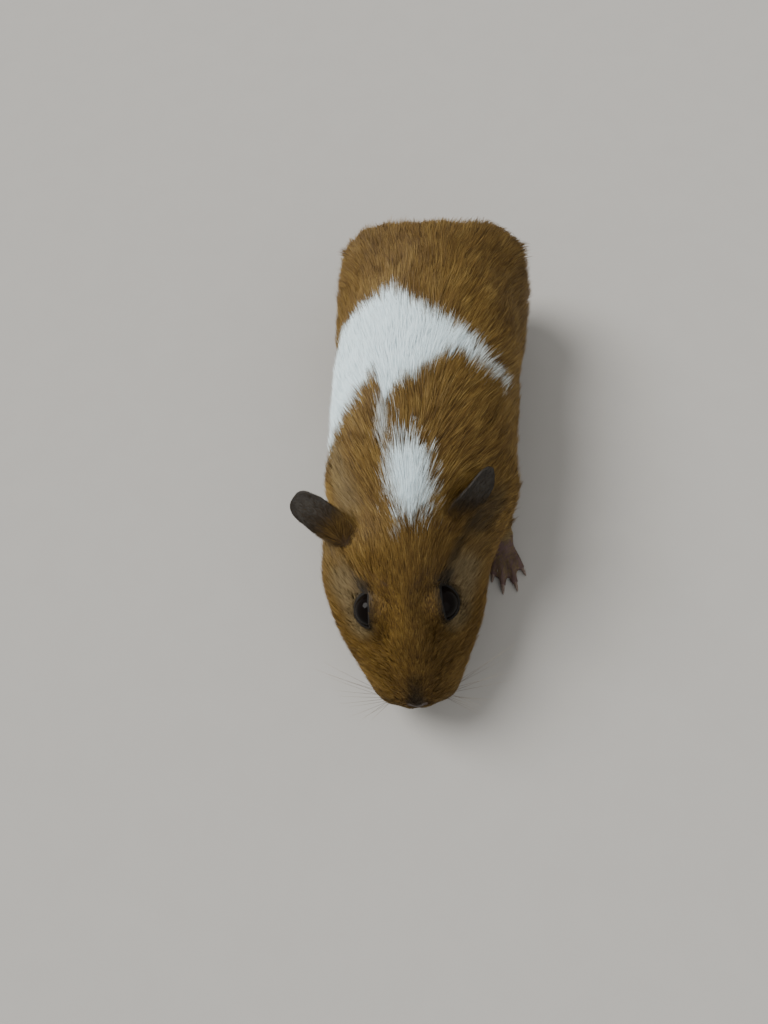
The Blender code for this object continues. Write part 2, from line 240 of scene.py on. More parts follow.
def add_values(obj, name, values):
    """Keeps one number for each point of a mesh."""
    kept = obj.data.attributes.new(name, "FLOAT", "POINT")
    kept.data.foreach_set("value", np.ascontiguousarray(values, np.float32))


EYES = {side: from_head(EYE_IN_HEAD * (sign, 1, 1)) for side, sign in SIDES.items()}
# The way each eye looks, and the way that its slit runs, from its front corner to its back corner.
LOOKS = {side: unit(np.array([sign, -0.20, 0.92]) @ TURN.T) for side, sign in SIDES.items()}
SLITS = {}
for side, sign in SIDES.items():
    back = np.array([-0.12 * sign, 1.0, 0.20]) @ TURN.T
    SLITS[side] = unit(back - (back @ LOOKS[side]) * LOOKS[side])
ACROSS_SLITS = {side: np.cross(LOOKS[side], SLITS[side]) for side in SIDES}
LID_REACH = EYE_RADIUS + 4.5  # how far from an eye's middle a point still counts as near it
RIM_REACH = EYE_RADIUS + 4
SOCKET_REACH = EYE_RADIUS + 10
SLIT_HALF_LENGTH = 71.0  # degrees on the eyeball
SLIT_HALF_HEIGHT = 39.5
SLIT_POINT = 1.65  # 2 is an ellipse; less is more pointed


def eye_angles(p, side):
    """Each point's angle from the way an eye looks, its bearing round it, and the slit's edge there."""
    v = unit(p - EYES[side])
    away = np.degrees(np.arccos(np.clip(v @ LOOKS[side], -1, 1)))
    bearing = np.arctan2(v @ ACROSS_SLITS[side], v @ SLITS[side])
    return away, bearing, slit_edge(bearing)


def slit_edge(bearing):
    across = (np.abs(np.cos(bearing)) / SLIT_HALF_LENGTH) ** SLIT_POINT
    up = (np.abs(np.sin(bearing)) / SLIT_HALF_HEIGHT) ** SLIT_POINT
    return (across + up) ** (-1 / SLIT_POINT)


# Where the legs meet the feet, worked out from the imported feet
HEEL_TO_ANKLE = 5.0
ANKLES = []
for foot in FEET:
    low, high = (np.array(corner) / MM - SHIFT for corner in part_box(foot))
    ANKLES.append(np.array([(low[0] + high[0]) / 2, high[1] - HEEL_TO_ANKLE, 0.0]))


def on_leg(p):
    """1 on the legs and feet, 0 on the body."""
    near = np.zeros(len(p))
    for ankle in ANKLES:
        near = np.maximum(near, ramp(size_of((p - ankle)[:, :2]), 17, 8))
    return np.maximum(near * ramp(p[:, 2], 26, 12), ramp(p[:, 2], 8.5, 7))


# The skin

SKIN_VOXEL = 0.9
JOIN_GROWTH = 0.35  # closes the clearances between the solids before they are fused
SOFT_ROUNDS = 10  # of smoothing on the body
FOOT_ROUNDS = 1
NORMAL_ROUNDS = 4
FINE_ROUND_EYE = 12  # the skin is divided this near an eye's middle
FINE_BEHIND_NOSE = 8  # and this far behind the tip of the nose
SOLE_HEIGHT = 0.02

# Depth of the coat by the way back from the nose, and by height on the legs
DEPTH_FROM_NOSE = ((0, 0.35), (14, 0.8), (36, 1.3), (56, 2.0), (75, 3.3))
DEPTH_ON_LEG = ((7, 0.08), (12, 0.7), (24, 1.6))


def from_eye(p):
    """Distance of each point from the nearer eye's middle."""
    return np.minimum(*(size_of(p - EYES[side]) for side in SIDES))


def coat_depth(p):
    """How deep the skin lies under the tips of the coat."""
    head = in_half_head(p)
    depth = along_table(head[:, 1], DEPTH_FROM_NOSE)
    depth = depth * (0.35 + 0.65 * ramp(from_eye(p), EYE_RADIUS, 15))
    depth = depth * (0.45 + 0.55 * ramp(p[:, 2], 10, 30))
    depth = depth * (1 + 0.7 * ramp(head[:, 0], 5, 9) * ramp(head[:, 1], 34, 14))
    leg = on_leg(p)
    return depth * (1 - leg) + along_table(p[:, 2], DEPTH_ON_LEG) * leg


def fused_flesh():
    """One closed surface through all the solids of flesh."""
    pieces = []
    for node in (*FLESH, *FEET, "eye_left", "eye_right"):
        points, faces = arrays_of(node)
        pieces.append((points + point_normals(points, faces) * JOIN_GROWTH, faces))
    whole = mesh_object("fused", *joined(pieces))
    remesh = whole.modifiers.new("fuse", "REMESH")
    remesh.mode = "VOXEL"
    remesh.voxel_size = SKIN_VOXEL * MM
    return evaluated_arrays(whole)


def divided(points, faces, chosen):
    """Splits the edges between chosen points in half."""
    mesh = bmesh.new()
    for p in points:
        mesh.verts.new(p)
    mesh.verts.ensure_lookup_table()
    for f in faces:
        mesh.faces.new([mesh.verts[i] for i in f])
    edges = [e for e in mesh.edges if chosen[e.verts[0].index] and chosen[e.verts[1].index]]
    bmesh.ops.subdivide_edges(mesh, edges=edges, cuts=1, use_grid_fill=True)
    bmesh.ops.triangulate(mesh, faces=mesh.faces[:])
    mesh.verts.index_update()
    made = arrays_in(mesh)
    mesh.free()
    return made


# Rows of a lid, from its wet rim outwards: degrees beyond the slit's edge, height over the eyeball, and how
# far the row has come down to the skin round the eye.
LID_ROWS = (
    (-6, -0.6, 0), (-3, -0.05, 0), (-1, 0.26, 0), (1.5, 0.40, 0), (4.5, 0.45, 0.1), (8, 0.42, 0.35),
    (12, 0.35, 0.7), (17, 0.25, 0.95), (22, 0.0, 1.0), (26, -0.7, 1.0),
)  # fmt: skip
LID_POINTS = 96
# The skin under a lid is looked for from outside, towards the eye's middle.
LOOK_FROM = 16
LOOK_FAR = 9.5


def lids(side, tree):
    """A ring of skin that frames one eye and runs out under the skin of the head."""
    bearing = np.linspace(0, 2 * math.pi, LID_POINTS, endpoint=False)
    aside = np.cos(bearing)[:, None] * SLITS[side] + np.sin(bearing)[:, None] * ACROSS_SLITS[side]
    rows = []
    for beyond, height, settled in LID_ROWS:
        away = np.radians(slit_edge(bearing) + beyond)
        way = np.cos(away)[:, None] * LOOKS[side] + np.sin(away)[:, None] * aside
        reach = np.full(LID_POINTS, EYE_RADIUS + height)
        if settled:
            for k, direction in enumerate(way):
                start = Vector(EYES[side] + direction * LOOK_FROM)
                hit = tree.ray_cast(start, Vector(-direction), LOOK_FAR)
                skin = np.linalg.norm(np.array(hit[0]) - EYES[side]) if hit[0] else EYE_RADIUS
                reach[k] = (EYE_RADIUS + height) * (1 - settled) + (skin + height) * settled
        reach = (np.roll(reach, 1) + reach * 2 + np.roll(reach, -1)) / 4
        rows.append(EYES[side] + way * reach[:, None])
    points, faces = np.concatenate(rows), band_faces(len(LID_ROWS), LID_POINTS)
    outwards = face_normals(points, faces) @ LOOKS[side]
    return points, faces if outwards.sum() > 0 else faces[:, ::-1]


def beyond_slit(p):
    """Degrees by which each point near an eye lies outside its slit, and a large number elsewhere."""
    beyond = np.full(len(p), 999.0)
    for side in SIDES:
        away, _, edge = eye_angles(p, side)
        near = size_of(p - EYES[side]) < LID_REACH
        beyond = np.where(near, away - edge, beyond)
    return beyond


def over_eye(p):
    """1 above an eye, 0 below it."""
    above = np.zeros(len(p))
    for side in SIDES:
        _, bearing, _ = eye_angles(p, side)
        sign = np.sign(ACROSS_SLITS[side][2])
        near = size_of(p - EYES[side]) < LID_REACH
        above = np.where(near, ramp(np.sin(bearing) * sign, -0.1, 0.6), above)
    return above


# Grooves and swells of the muzzle in the head's frame: from, to, radius, and how far they stand out.
GROOVES = (
    ((1.3, 0, 24.4), (2.6, 0.5, 24.9), 0.6, -1.5),
    ((2.6, 0.5, 24.9), (3.5, 1.5, 26.4), 0.5, -1.0),
    ((0, 0, 23.8), (0, 0.5, 17.8), 0.45, -0.8),
    ((0, 0.5, 17.6), (2.8, 1.6, 15.6), 0.55, -0.9),
    ((2.8, 1.6, 15.6), (6.0, 6.0, 14.2), 0.6, -0.8),
    ((6.0, 6.0, 14.2), (8.6, 12.0, 14.8), 0.7, -0.6),
)
SWELLS = (
    ((3.0, 0.5, 20.2), (5.0, 3.0, 19.0), 2.3, 0.7),
    ((0, 0, 25.6), (0, 1.2, 27.4), 1.4, 0.35),
    ((2.9, 0.4, 23.2), (3.9, 1.4, 24.6), 0.7, 0.35),
)


def muzzle_relief(p):
    """How far the skin of the muzzle stands out: nostrils, split lip, mouth and the pads of the lip."""
    head = in_half_head(p)
    height = np.zeros(len(p))
    for a, b, radius, rise in (*GROOVES, *SWELLS):
        height += rise * np.exp(-((from_line(head, a, b) / radius) ** 2))
    return height


# How far over the eyeball the skin may lie, by degrees from the way that the eye looks.
SOCKET_EASE = ((0, 0.35), (45, 0.5), (60, 1.1), (75, 2.2), (85, 4.0), (95, 7.0), (105, 12))
# Under the lids the skin is drawn in out of sight, by degrees beyond the slit.
UNDER_LIDS = ((6, -1.2), (12, 0.0), (16, 0.9), (20, 9))


def drawn_in(points, side, table, from_edge):
    """Moves the skin round one eye towards its middle, to within the table's heights over the eyeball."""
    away, _, edge = eye_angles(points, side)
    v = points - EYES[side]
    far = size_of(v)
    allowed = EYE_RADIUS + along_table(away - edge if from_edge else away, table)
    moves = (far < SOCKET_REACH) & (far > allowed)
    return np.where(moves[:, None], EYES[side] + v * (allowed / far)[:, None], points)


def make_skin():
    """Points and triangles of the bare skin with its lids, and the number of faces before the lids."""
    points, faces = fused_flesh()
    edges = edges_of(faces)
    free = ramp(points[:, 2], ANKLE_HEIGHT - 2, ANKLE_HEIGHT + 6)[:, None]
    soft = eased(points, edges, SOFT_ROUNDS)
    points = soft * free + eased(points, edges, FOOT_ROUNDS) * (1 - free)
    normals = eased(point_normals(points, faces), edges, NORMAL_ROUNDS)
    points = points - unit(normals) * (coat_depth(points)[:, None] + JOIN_GROWTH)
    near_nose = in_head(points)[:, 1] < FINE_BEHIND_NOSE
    points, faces = divided(points, faces, near_nose | (from_eye(points) < FINE_ROUND_EYE))
    normals = point_normals(points, faces)
    points = points + normals * muzzle_relief(points)[:, None]
    for side in SIDES:
        points = drawn_in(points, side, SOCKET_EASE, False)
    points[:, 2] = np.maximum(points[:, 2], SOLE_HEIGHT)
    tree = BVHTree.FromPolygons(points.tolist(), faces.tolist())
    both_lids = [lids(side, tree) for side in SIDES]
    for side in SIDES:
        points = drawn_in(points, side, UNDER_LIDS, True)
    return *joined([(points, faces), *both_lids]), len(faces)


# Markings. Angles run round the trunk from its top: positive towards the animal's left. Each edge of the band
# is given by its corners only: an angle and a place along the body.

BAND_REAR = ((-120, 20), (-65, 43), (-20, 53), (0, 42), (75, 14))
BAND_FRONT = ((-120, 0), (-90, -9), (-60, -4), (-26, 15), (-18, 1), (-9, 9), (22, 24), (64, 17), (80, 40))
# The patch on the nape is an ellipse that leans, seen from above.
NAPE_MIDDLE = np.array([-3.0, -26.0])
NAPE_HALF_WIDTH = 8.6
NAPE_HALF_LENGTH = 14.0
NAPE_LEAN = np.radians(12)
BAND_FOOT = 4  # the band ends at this height
OUTSIDE = -9
TRAIL = ((-14, 2), (-14, -12))
THIN_LINE = ((-4, -40), (-8, -48))


def inside_nape(plan):
    """How far inside the nape's patch each point lies, less than nothing outside it."""
    x, y = (plan - NAPE_MIDDLE).T
    across = (x * np.cos(NAPE_LEAN) + y * np.sin(NAPE_LEAN)) / NAPE_HALF_WIDTH
    along = (x * np.sin(NAPE_LEAN) - y * np.cos(NAPE_LEAN)) / NAPE_HALF_LENGTH
    return NAPE_HALF_WIDTH * (1 - np.hypot(across, along))


def trunk_angle(p):
    return np.degrees(np.arctan2(p[:, 0] - TRUNK_AXIS[0], p[:, 2] - TRUNK_AXIS[1]))


def white_share(p, stray):
    """How white the coat is at each point. stray shifts the edges by some millimetres, hair by hair."""
    angle, y = trunk_angle(p), p[:, 1]
    band = np.minimum(along_table(angle, BAND_REAR) - y, y - along_table(angle, BAND_FRONT))
    band = np.where(p[:, 2] > BAND_FOOT, band, OUTSIDE)
    thin_end = ramp(angle, 28, 46)  # where the band is thin, tawny hairs run through it
    white = ramp(band + stray * (1.4 + thin_end), -1.1, 1.3) * (1 - 0.35 * thin_end)
    plan = p[:, :2]
    on_top = ramp(p[:, 2], 50, 56)
    patch = ramp(inside_nape(plan) + stray * 1.9, -0.9, 1.6) * on_top
    trail = ramp(from_line(plan, *TRAIL) - stray * 1.6, 2.0, 0.2) * 0.5 * on_top
    line = ramp(from_line(plan, *THIN_LINE) - stray * 0.8, 1.2, 0.2) * 0.22 * on_top
    return np.clip(np.maximum.reduce([white, patch, trail, line]), 0, 1)


def pale_share(p):
    """Beige hair: round the eyes, on the cheeks and chin, behind the ears and under the body."""
    head = in_half_head(p)
    ring = ramp(from_line(head, (15, 34, 37), (19, 46, 40)), 11.5, 5.0) * 0.8
    cheek = ramp(from_line(head, (20, 50, 34), (22, 60, 38)), 12, 4) * 0.35
    lip = ramp(from_line(head, (9, 10, 17), (12, 22, 14)), 9, 3) * 0.5
    chin = ramp(head[:, 2], 17, 9) * ramp(head[:, 1], 60, 40) * 0.7
    behind_ear = ramp(from_line(p, (-31, -27, 56), (-25, -40, 58)), 11, 3) * 0.6
    under = ramp(p[:, 2], 26, 10) * 0.7
    return np.clip(np.maximum.reduce([ring, cheek, lip, chin, behind_ear, under]), 0, 1)


def dark_share(p):
    """Darker colour: darker hair on the nose's bridge, painted shade in the fold from the left eye to its ear
    and over each eye, a darker ring round each eye's slit, and darker at that ear's root.
    """
    bridge = ramp(from_line(in_head(p), (-0.4, 1, 26), (0.3, 11, 36)), 4.6, 1.6) * 0.9
    # Painted shade in the fold of the fur from the left eye up to its ear.
    fold = ramp(from_line(p, (13.5, -60, 50), (20, -42, 51)), 5.0, 1.8) * 0.9
    root = ramp(from_line(p, (21, -42, 50), (24, -36, 50)), 10.0, 3.5) * 0.7
    beyond = beyond_slit(p)
    ring_round_slit = ramp(beyond, 15, 4) * 0.9
    # Painted shade over each eye, where the lids face up into the light.
    painted_shade_over_eye = ramp(beyond, 34, 8) * over_eye(p) * 0.7
    return np.clip(np.maximum.reduce([bridge, fold, root, ring_round_slit, painted_shade_over_eye]), 0, 1)


def rump_share(p):
    return ramp(p[:, 1], 20, 75)


# The lie of the coat


def lie_of_coat(p, normals):
    """The way the coat lies at each point, along the skin."""
    head = in_head(p)
    side = np.tanh((p[:, 0] - TRUNK_AXIS[0]) / 22)
    rise = ramp(p[:, 1], 40, 96)
    outwards = np.where(side > 0, 0.62, 0.30) * side * (1 - 0.35 * rise)
    down = -0.30 * np.abs(side) - 0.75 * rise * ramp(p[:, 1], 60, 98)
    body = np.stack([outwards, np.ones(len(p)), down], axis=1)
    low = ramp(p[:, 2], 30, 10)[:, None]
    body = body * (1 - low) + np.array([0, 0.75, -0.75]) * low
    nose = np.array([0, -9.0, 22.0])
    from_nose = (head - nose) * (0.85, 1, 0.85)
    face = unit(from_nose) @ TURN.T
    for s in SIDES:
        v = p - EYES[s]
        near = np.exp(-((size_of(v) / 10.5) ** 2))[:, None]
        face = face + unit(v) * near * 0.9
    share = ramp(head[:, 1], 40, 78)[:, None]
    way = unit(face) * (1 - share) + unit(body) * share
    side_of_head = (ramp(head[:, 1], 38, 50) * ramp(head[:, 1], 92, 70))[:, None]
    way = way + np.array([0, 0.4, -0.55]) * side_of_head * ramp(head[:, 2], 44, 28)[:, None]
    sway = wandering(p, 24, SEED) * 0.16 + wandering(p, 9, SEED + 5) * 0.08
    way = way + sway * (0.35 + 0.65 * share)
    return along_skin(way, normals)


# Length of the hairs by the way back from the nose, and by height on the legs
LENGTH_FROM_NOSE = (
    (-2, 1.2), (6, 2.3), (16, 3.8), (34, 5.0), (50, 7.0), (66, 10.5), (84, 16), (110, 18.5), (170, 20),
)  # fmt: skip
LENGTH_ON_LEG = ((1, 1.2), (5, 2.0), (10, 3.6), (18, 6.5), (26, 11))
LASH_LENGTH = 1.2
SHORT_ROUND_EYE = 17  # the hairs are shorter this near an eye's middle


def hair_length(p):
    """The coat's length: shortest on the nose, lids and feet, longest on the back and rump."""
    head = in_half_head(p)
    length = along_table(head[:, 1], LENGTH_FROM_NOSE)
    lip = ramp(head[:, 0], 5, 9) * ramp(head[:, 1], 34, 14) * ramp(head[:, 2], 30, 22)
    length = length * (1 + 1.2 * lip)
    far = from_eye(p)
    short = LASH_LENGTH + 0.38 * np.maximum(far - EYE_RADIUS, 0)
    length = np.where(far < SHORT_ROUND_EYE, np.minimum(length, short), length)
    under = ramp(p[:, 2], 22, 12)
    length = length * (1 - 0.35 * under)
    leg = on_leg(p)
    on_legs = along_table(p[:, 2], LENGTH_ON_LEG)
    return np.where(leg > 0, np.minimum(length, on_legs) * leg + length * (1 - leg), length)


GUIDE_STEPS = 4


def guides(points, faces, ways, length, depth):
    """The path of a hair from every point of the skin: its offsets from the root at even steps."""
    tree = BVHTree.FromPolygons(points.tolist(), faces.tolist())
    path = [points]
    here = points + ways * (length / GUIDE_STEPS)[:, None]
    for step in range(1, GUIDE_STEPS + 1):
        share = step / GUIDE_STEPS
        found = [tree.find_nearest(Vector(q)) for q in here.tolist()]
        foot = np.array([f[0] for f in found])
        n = np.array([f[1] for f in found])
        corners = faces[np.array([f[2] for f in found])]
        way = unit(ways[corners].mean(1))
        height = depth * (0.25 + 0.75 * share) * share**0.55
        path.append(foot + n * height[:, None])
        here = path[-1] + way * (length / GUIDE_STEPS)[:, None]
    return np.stack(path, axis=1) - points[:, None]


class Coat:
    """A skin with what its hairs need to know: how they lie, how long they are and how high they rise."""

    def __init__(self, points, faces, lie, length, depth):
        self.points, self.faces = points, faces
        self.normals = unit(eased(point_normals(points, faces), edges_of(faces), 3))
        self.depth = depth
        self.guides = guides(points, faces, lie(points, self.normals), length, depth)
        self.areas = size_of(face_normals(points, faces)) / 2
        self.middles = points[faces].mean(1)
        self.facing = unit(self.normals[faces].mean(1))


# How the hairs of one region grow: how many to a square millimetre, how wide, how strongly they gather into
# locks, how wide a lock is, degrees that a hair strays, pieces in a hair, and how much some hairs stand up.
Lock = namedtuple("Lock", "density width gather size wild joints lift", defaults=(3, 1.0))
FINE_STRANDS = 0.4  # width of the strands in a lock, as a share of the lock's
TAPERS = {3: (0.85, 1.0, 0.72), 2: (0.95, 0.75)}  # a hair's width at its joints, before its pointed tip


def scatter(coat, weights, draw, density):
    """Roots at random over the weighted skin: their faces and their places in them."""
    share = coat.areas * weights
    count = int(share.sum() * density)
    face = np.searchsorted(np.cumsum(share), draw.uniform(0, share.sum(), count))
    u, v = draw.uniform(size=(2, count))
    over = u + v > 1
    u[over], v[over] = 1 - u[over], 1 - v[over]
    return np.minimum(face, len(share) - 1), np.stack([1 - u - v, u, v], axis=1)


def blended(values, faces, spots):
    """Values at points of the skin, between those of the face's corners."""
    return np.einsum("nk,nk...->n...", spots, values[faces])


def turned(v, axis, angle):
    c, s = np.cos(angle)[..., None], np.sin(angle)[..., None]
    return v * c + np.cross(axis, v) * s + axis * (axis * v).sum(-1, keepdims=True) * (1 - c)


def hair_paths(coat, face, spots, lock, draw):
    """Roots, skin normals and paths of the hairs, gathered into locks."""
    corners = coat.faces[face]
    root = blended(coat.points, corners, spots)
    normal = unit(blended(coat.normals, corners, spots))
    offset = blended(coat.guides, corners, spots)
    count = len(root)
    scale = draw.uniform(0.62, 1.12, count) * (1 + 0.12 * waves(root, 7, SEED + 9))
    offset = offset * scale[:, None, None]
    twist = np.radians(draw.normal(0, lock.wild, count))
    offset = turned(offset, normal[:, None], np.repeat(twist[:, None], offset.shape[1], 1))
    rising = np.abs(draw.normal(0, 0.30, count)) * lock.lift
    steps = np.linspace(0, 1, GUIDE_STEPS + 1)
    depth = blended(coat.depth, corners, spots)
    offset = offset + normal[:, None] * (rising * depth)[:, None, None] * steps[None, :, None] ** 1.4
    path = root[:, None] + offset
    leader_of = []
    for size, gather in ((lock.size, lock.gather), (lock.size * FINE_STRANDS, lock.gather * 0.7)):
        leaders = np.flatnonzero(draw.uniform(size=count) < 1 / max(lock.density * size * size, 1.5))
        tree = KDTree(len(leaders))
        for k, place in enumerate(root[leaders].tolist()):
            tree.insert(place, k)
        tree.balance()
        nearest = leaders[[tree.find(place)[1] for place in root.tolist()]]
        pull = (gather * draw.uniform(0.55, 1.0, count))[:, None] * steps[None] ** 1.3
        path = path + (path[nearest] - path) * pull[..., None]
        leader_of.append(nearest)
    return root, normal, path, leader_of


def ribbons(root, normal, path, lock, draw):
    """Thin tapering blades along the paths: points, triangles, and each point's place along its hair."""
    count, joints = len(root), lock.joints
    places = np.linspace(0, 1, joints + 1) ** 0.9
    at = places * GUIDE_STEPS
    low = np.minimum(at.astype(int), GUIDE_STEPS - 1)
    part = (at - low)[None, :, None]
    line = path[:, low] * (1 - part) + path[:, low + 1] * part
    run = unit(line[:, -1] - line[:, 0])
    roll = np.radians(draw.normal(0, 34, count))
    side = turned(unit(np.cross(run, normal)), run, roll)
    width = lock.width * draw.uniform(0.7, 1.25, count)
    half = side[:, None] * width[:, None, None] * np.array(TAPERS[joints])[None, :, None] / 2
    pairs = np.stack([line[:, :-1] - half, line[:, :-1] + half], axis=2)
    points = np.concatenate([pairs.reshape(count, -1, 3), line[:, -1:]], axis=1)
    per = points.shape[1]
    last = per - 3
    pattern = []
    for a in range(0, last, 2):
        pattern += [(a, a + 1, a + 3), (a, a + 3, a + 2)]
    pattern.append((last, last + 1, last + 2))
    faces = (np.arange(count)[:, None, None] * per + np.array(pattern)[None]).reshape(-1, 3)
    along = np.append(np.repeat(places[:-1], 2), 1.0)
    return points.reshape(-1, 3), faces, np.tile(along, count), per


PATCH = 0.003  # how wide a hair's own patch is on the unwrap


def unwrap(p, front, back):
    """The skin's own unwrap, as of a capsule: the angle round its middle line, and the way along it."""
    front, back = np.array(front, float), np.array(back, float)
    axis = unit(back - front)
    reach = np.linalg.norm(back - front)
    t = (p - front) @ axis
    beside = np.clip(t, 0, reach)
    r = p - (front + beside[:, None] * axis)
    radius = size_of(r)
    slant = np.clip((t - beside) / np.maximum(radius, 1e-6), -1, 1)
    along = beside + np.arcsin(slant) * np.maximum(radius, 1)
    right = unit(np.cross(axis, (0, 0, 1)))
    up = np.cross(right, axis)
    angle = np.arctan2(r @ right, r @ up)
    return np.stack([angle / (2 * math.pi) + 0.5, along], axis=1)


def fitted(uv):
    """Spreads an unwrap over the whole map, inside a margin."""
    low, high = uv.min(0), uv.max(0)
    return PATCH + (uv - low) / (high - low) * (1 - 2 * PATCH)


def lay_bake_map(obj, root, line, per):
    """Each hair is one patch at its root's place on the skin's unwrap."""
    places = fitted(unwrap(root, *line))
    ladder = np.arange(per)
    across = np.where(ladder == per - 1, 0.5, ladder % 2) - 0.5
    along = (ladder // 2) / ((per - 1) / 2) - 0.5
    corner = places[:, None] + np.stack([across, along], axis=1)[None] * PATCH
    by_point = corner.reshape(-1, 2)
    loops = np.empty(len(obj.data.loops), np.int32)
    obj.data.loops.foreach_get("vertex_index", loops)
    layer = obj.data.uv_layers.new(name="OFBake")
    layer.uv.foreach_set("vector", by_point[loops].astype(np.float32).ravel())


NORMAL_EASE = 0.55  # how much a hair takes the light as the body under it does


def marks(root, outer, stray):
    """The shares of each colour of hair. White is told near the tip of a hair, the others at its root."""
    return {
        "white": white_share(outer, stray),
        "pale": pale_share(root),
        "dark": dark_share(root),
        "rump": rump_share(root),
    }


def grow(name, coat, weights, lock, line, draw, marks=marks):
    """One piece of the coat."""
    face, spots = scatter(coat, weights, draw, lock.density)
    root, normal, path, (of_lock, of_strand) = hair_paths(coat, face, spots, lock, draw)
    points, faces, along, per = ribbons(root, normal, path, lock, draw)
    obj = mesh_object(name, points, faces)
    lay_bake_map(obj, root, line, per)
    own, of_leader = draw.normal(0, 1, (2, len(root)))
    stray = own * 0.7 + of_leader[of_strand] * 0.8 + waves(root, 3.2, SEED + 31) * 0.9
    tone = own * 0.42 + of_leader[of_lock] * 0.34 + of_leader[of_strand] * 0.34
    tone = tone + waves(root, 13, SEED + 43) * 0.2
    outer = path[:, -2] * 0.6 + path[:, -1] * 0.4
    values = marks(root, outer, stray)
    long = ramp(size_of(path[:, -1] - root), 3, 13)
    values["tone"] = np.clip(tone * (0.30 + 0.20 * long) + 0.5, 0, 1)
    for label, value in values.items():
        add_values(obj, label, np.repeat(value, per))
    add_values(obj, "along", along)
    blade = point_normals(points, faces)
    body = np.repeat(normal, per, axis=0)
    blade = blade * np.sign((blade * body).sum(1))[:, None]
    shading = unit(body * NORMAL_EASE + blade * (1 - NORMAL_EASE))
    obj.data.normals_split_custom_set_from_vertices(shading.astype(np.float32))
    obj.data.materials.append(HAIR_FINISH)
    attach(obj, "root")


# Finishes


class Value:
    """A socket of a finish. Sums of these add Math nodes."""

    def __init__(self, finish, socket):
        self.finish, self.socket = finish, socket

    def combined(self, operation, a, b):
        return self.finish.node("ShaderNodeMath", {"operation": operation}, {0: a, 1: b})

    def __add__(self, other):
        return self.combined("ADD", self, other)

    def __sub__(self, other):
        return self.combined("SUBTRACT", self, other)

    def __rsub__(self, other):
        return self.combined("SUBTRACT", other, self)

    def __mul__(self, other):
        return self.combined("MULTIPLY", self, other)

    __radd__, __rmul__ = __add__, __mul__


class Finish:
    """A material in the making."""

    def __init__(self, name, **constants):
        self.material = bpy.data.materials.new(name)
        self.material.use_nodes = True
        self.tree = self.material.node_tree
        self.tree.nodes.clear()
        self.surface = self.tree.nodes.new("ShaderNodeBsdfPrincipled")
        output = self.tree.nodes.new("ShaderNodeOutputMaterial")
        self.tree.links.new(self.surface.outputs[0], output.inputs[0])
        for socket, value in constants.items():
            self.surface.inputs[socket.replace("_", " ")].default_value = value

    def feed(self, socket, value):
        if isinstance(value, Value):
            self.tree.links.new(value.socket, socket)
        elif isinstance(value, tuple):
            socket.default_value = (*value, 1)
        else:
            socket.default_value = value

    def node(self, kind, settings, sockets, out=0):
        made = self.tree.nodes.new(kind)
        for key, value in settings.items():
            if key == "stops":
                stops = made.color_ramp.elements
                while len(stops) < len(value):
                    stops.new(0.5)
                for stop, (place, colour) in zip(stops, value):
                    stop.position = place
                    stop.color = (*colour, 1)
            else:
                setattr(made, key, value)
        for key, value in sockets.items():
            self.feed(made.inputs[key], value)
        return Value(self, made.outputs[out])

    def mixed(self, share, a, b, blend="MIX"):
        """A colour between a and b."""
        settings = {"data_type": "RGBA", "blend_type": blend, "clamp_factor": True}
        return self.node("ShaderNodeMix", settings, {0: share, 6: a, 7: b}, out=2)

    def kept(self, name):
        """A number kept for each point of the mesh."""
        return self.node("ShaderNodeAttribute", {"attribute_name": name}, {}, out="Fac")

    def place(self):
        return self.node("ShaderNodeTexCoord", {}, {}, out="Object")

    def noise(self, scale, detail, roughness=0.55):
        sockets = {"Vector": self.place(), "Scale": scale, "Detail": detail, "Roughness": roughness}
        return self.node("ShaderNodeTexNoise", {}, sockets)

    def paint(self, colour, roughness, height=None, strength=0, distance=0):
        self.feed(self.surface.inputs["Base Color"], colour)
        self.feed(self.surface.inputs["Roughness"], roughness)
        if height is not None:
            sockets = {"Strength": strength, "Distance": distance, "Height": height}
            self.feed(self.surface.inputs["Normal"], self.node("ShaderNodeBump", {}, sockets))
        return self.material


TAWNY = (
    (0.0, (0.040, 0.018, 0.0030)), (0.35, (0.100, 0.054, 0.0100)),
    (0.7, (0.175, 0.102, 0.021)), (1.0, (0.27, 0.18, 0.052)),
)  # fmt: skip
WHITE = (0.80, 0.93, 0.97)
# white hair in painted shade, towards its roots
WHITE_SHADED = (0.58, 0.71, 0.76)
BEIGE = (0.24, 0.19, 0.105)
DARK_BEIGE = (0.13, 0.096, 0.045)
FOX = (0.055, 0.028, 0.005)
# darker hair, and painted shade in the fold by the left eye and over each eye
DARKER_HAIR_AND_SHADE = (0.022, 0.017, 0.011)
UNDERCOAT = (0.62, 0.58, 0.55)
# near-black of the eye rims' skin, and painted shade in the nostrils
RIM_AND_NOSTRIL_SHADE = (0.006, 0.005, 0.0045)


def coat_colour(finish, tone, along):
    """The coat's colour from the kept shares: tawny, and over it beige, darker hair with painted shade, and
    white hair; painted shade darkens each hair towards its root.
    """
    base = finish.node("ShaderNodeValToRGB", {"stops": TAWNY}, {0: tone})
    base = finish.mixed(finish.kept("rump") * 0.30, base, FOX)
    beige = finish.mixed(tone, DARK_BEIGE, BEIGE)
    base = finish.mixed(finish.kept("pale"), base, beige)
    base = finish.mixed(finish.kept("dark") * 0.85, base, DARKER_HAIR_AND_SHADE)
    # Painted shade: darker towards each hair's root; white hair goes from WHITE_SHADED at its root to WHITE at
    # its tip.
    root_painted_shade = finish.mixed(along, (0.55, 0.5, 0.45), (1.06, 1.05, 1.0))
    base = finish.mixed(1.0, base, root_painted_shade, "MULTIPLY")
    white = finish.mixed(along * 0.8 + tone * 0.4, WHITE_SHADED, WHITE)
    return finish.mixed(finish.kept("white"), base, white)


